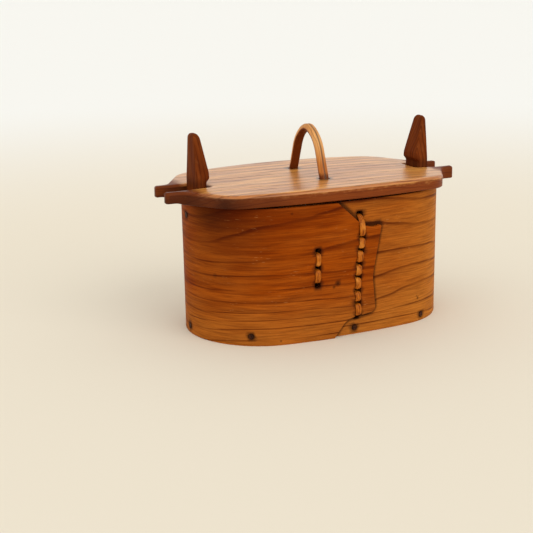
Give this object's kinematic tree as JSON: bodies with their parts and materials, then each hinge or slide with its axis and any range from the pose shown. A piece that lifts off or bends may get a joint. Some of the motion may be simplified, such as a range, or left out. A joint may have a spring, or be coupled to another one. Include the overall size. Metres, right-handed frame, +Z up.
{
  "type": "bentwood tine box",
  "caption": "Bentwood tine box: root-laced pine band on a pegged board, end posts, and a lid with a root loop handle.",
  "frame": {"origin": "on the table, under the middle of the lid, which is the middle of the whole box from above", "axes": "+X along the box towards the post nearer the lacing's open side, +Y to the back, away from the lacing, +Z up"},
  "size_m": [0.2186, 0.1153, 0.136],
  "materials": {
    "band_pine": "waxed, satin",
    "board_pine": "bare, matt",
    "post_wood": "waxed, satin",
    "root_lacing": "waxed, glossy",
    "peg_wood": "waxed, satin",
    "lid_pine": "waxed, satin",
    "root_handle": "waxed, satin"
  },
  "bodies": {
    "box": {"side_band": "band_pine", "bottom_board": "board_pine", "left_post": "post_wood", "right_post": "post_wood", "overlap_lacing": "root_lacing", "short_lacing": "root_lacing", "bottom_pegs": "peg_wood", "left_post_pegs": "peg_wood", "right_post_pegs": "peg_wood"},
    "lid": {"lid_board": "lid_pine", "handle_loop": "root_handle", "handle_keys": "peg_wood"}
  },
  "joints": [
    {"name": "lid_lift", "type": "slide", "parent": "box", "child": "lid", "axis": [0, 0, 1], "range_m": [0, 0.06]}
  ]
}
